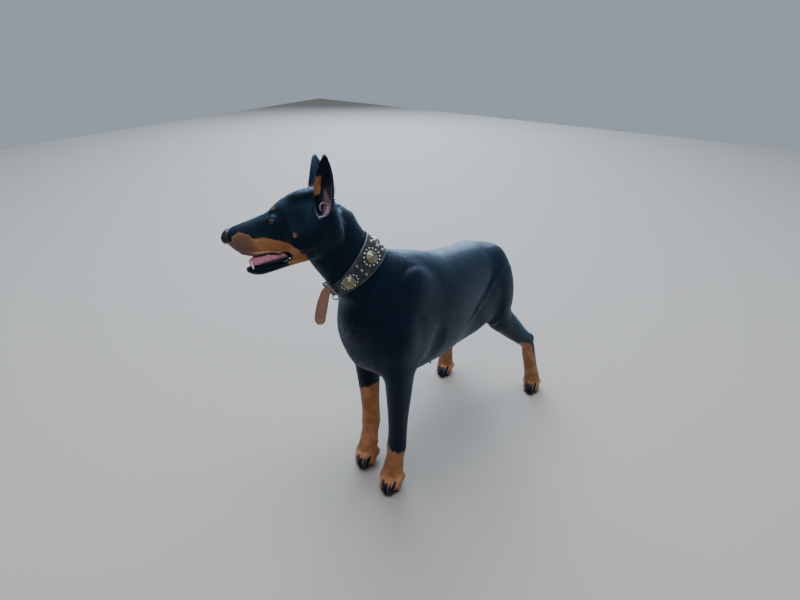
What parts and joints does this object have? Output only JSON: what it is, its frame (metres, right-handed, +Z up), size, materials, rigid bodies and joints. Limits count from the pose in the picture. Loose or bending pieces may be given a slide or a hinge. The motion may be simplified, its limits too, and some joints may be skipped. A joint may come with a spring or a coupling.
{
  "type": "doberman pinscher",
  "caption": "Standing black and rust doberman with erect cropped ears, head turned to its right, open mouth, and a broad studded leather collar; a still life-size model.",
  "frame": {"origin": "on the floor, under the middle of the whole dog", "axes": "-X is the way the trunk faces, -Y its left side, +Z up"},
  "size_m": [1.0166, 0.396, 0.9389],
  "materials": {
    "coat": "short glossy black and rust coat over skin",
    "eye": "wet dark brown",
    "nose": "damp pebbled black nose leather",
    "tongue": "wet pink",
    "claw": "worn black horn",
    "collar_leather": "satin black with a stitched edge",
    "concho": "aged, ringed",
    "buckle": "worn plating",
    "strap_leather": "worn brown"
  },
  "bodies": {
    "root": {"torso": "coat", "neck": "coat", "head": "coat", "ear_left": "coat", "eye_left": "eye", "ear_right": "coat", "eye_right": "eye", "nose": "nose", "lower_jaw": "coat", "tongue": "tongue", "tail": "coat", "left_fore_leg": "coat", "left_fore_claw_1": "claw", "left_fore_claw_2": "claw", "left_fore_claw_3": "claw", "left_fore_claw_4": "claw", "left_fore_claw_5": "claw", "right_fore_leg": "coat", "right_fore_claw_1": "claw", "right_fore_claw_2": "claw", "right_fore_claw_3": "claw", "right_fore_claw_4": "claw", "right_fore_claw_5": "claw", "left_hind_leg": "coat", "left_hind_claw_1": "claw", "left_hind_claw_2": "claw", "left_hind_claw_3": "claw", "left_hind_claw_4": "claw", "right_hind_leg": "coat", "right_hind_claw_1": "claw", "right_hind_claw_2": "claw", "right_hind_claw_3": "claw", "right_hind_claw_4": "claw", "collar": "collar_leather", "concho_1": "concho", "concho_2": "concho", "concho_3": "concho", "concho_4": "concho", "concho_5": "concho", "buckle": "buckle", "strap_end": "strap_leather"}
  },
  "joints": []
}
